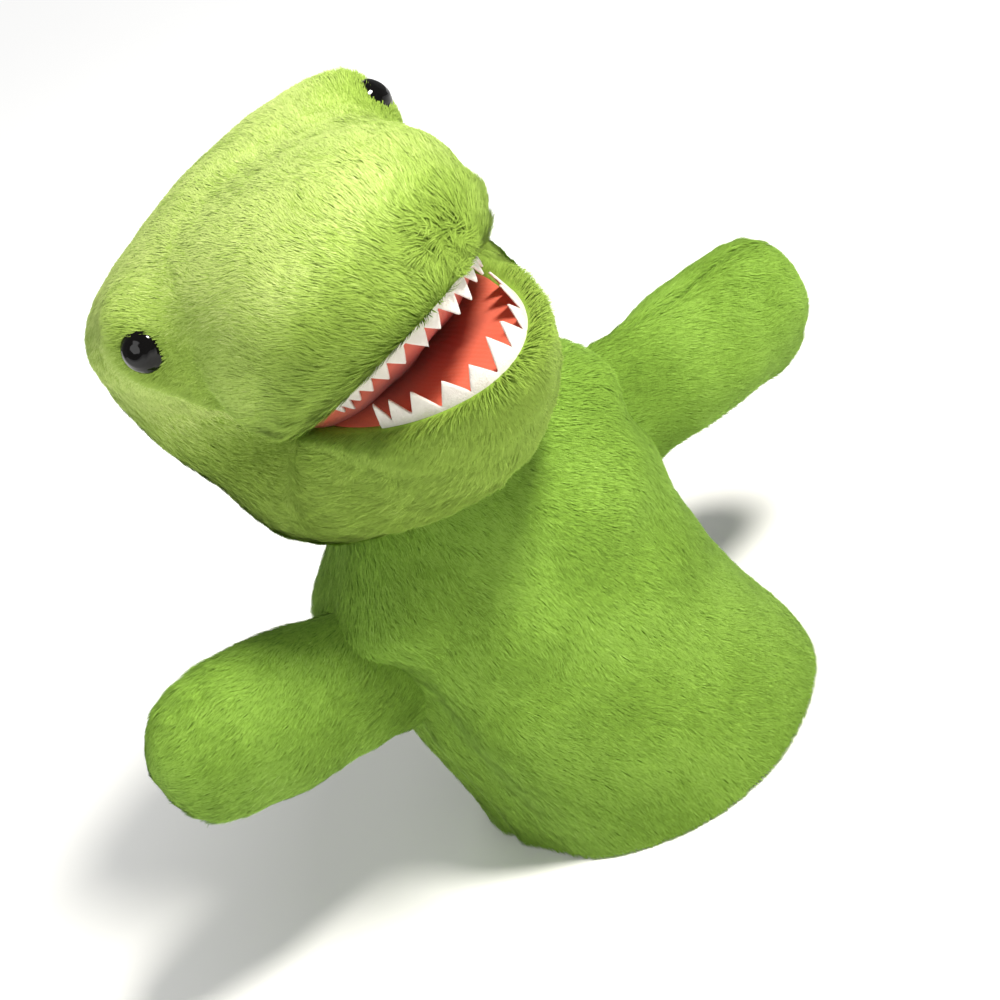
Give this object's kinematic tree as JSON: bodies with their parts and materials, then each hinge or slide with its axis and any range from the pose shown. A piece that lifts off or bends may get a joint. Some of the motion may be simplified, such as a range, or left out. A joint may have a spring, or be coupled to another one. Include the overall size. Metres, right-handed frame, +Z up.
{
  "type": "moving mouth hand puppet",
  "caption": "Plush dinosaur hand puppet with a hinged mouth, felt teeth, button eyes, stuffed arms and an open sleeve.",
  "frame": {"origin": "centre of the sleeve's hem opening, on the surface that the hem stands on", "axes": "+Z up along the sleeve from the hem, -Y the way the face looks, +X the puppet's own left"},
  "size_m": [0.2994, 0.1629, 0.2719],
  "materials": {
    "plush": "short plush with a soft nap",
    "plush_light": "longer plush, lighter at its tips",
    "mouth_cloth": "smooth brushed cloth",
    "teeth_felt": "stiff felt",
    "eye_plastic": "polished",
    "washer_plastic": "moulded",
    "board_foam": "closed-cell foam sheet",
    "stuffing": "fibre wadding",
    "lining_cloth": "thin woven cloth"
  },
  "bodies": {
    "sleeve": {"sleeve_front": "plush", "sleeve_back": "plush", "hem_facing": "plush", "sleeve_lining": "lining_cloth", "neck_seam": "plush", "arm_seam_left": "plush", "arm_seam_right": "plush"},
    "neck": {"neck_lining": "lining_cloth", "neck_plush": "plush"},
    "head": {"crown_plush": "plush_light", "nape_plush": "plush", "cheek_left": "plush", "cheek_right": "plush", "crown_stuffing": "stuffing", "finger_pocket": "lining_cloth", "upper_plate": "board_foam", "upper_lining": "mouth_cloth", "mouth_fold": "mouth_cloth", "upper_teeth": "teeth_felt", "eye_left": "eye_plastic", "eye_right": "eye_plastic", "eye_washer_left": "washer_plastic", "eye_washer_right": "washer_plastic"},
    "jaw": {"jaw_plush": "plush_light", "jaw_stuffing": "stuffing", "thumb_pocket": "lining_cloth", "lower_plate": "board_foam", "lower_lining": "mouth_cloth", "lower_teeth": "teeth_felt"},
    "arm_left": {"arm_front_left": "plush", "arm_back_left": "plush", "arm_stuffing_left": "stuffing"},
    "arm_right": {"arm_front_right": "plush", "arm_back_right": "plush", "arm_stuffing_right": "stuffing"}
  },
  "joints": [
    {"name": "head_tilt", "type": "hinge", "parent": "sleeve", "child": "neck", "pos_m": [-0.01523, 0, 0.14191], "axis": [0, 1, 0], "range_deg": [-10, 10]},
    {"name": "head_nod", "type": "hinge", "parent": "neck", "child": "head", "pos_m": [-0.0171, 0, 0.15072], "axis": [0.9781, 0, 0.2079], "range_deg": [-10, 10]},
    {"name": "jaw_open", "type": "hinge", "parent": "head", "child": "jaw", "pos_m": [-0.02637, -0.01798, 0.19884], "axis": [0.9768, 0.0523, 0.2076], "range_deg": [-8, 10]},
    {"name": "arm_left_swing", "type": "hinge", "parent": "sleeve", "child": "arm_left", "pos_m": [0.05577, 0, 0.11471], "axis": [0, 1, 0], "range_deg": [-25, 18]},
    {"name": "arm_right_swing", "type": "hinge", "parent": "sleeve", "child": "arm_right", "pos_m": [-0.07223, 0, 0.09443], "axis": [0, 1, 0], "range_deg": [-30, 8]}
  ]
}
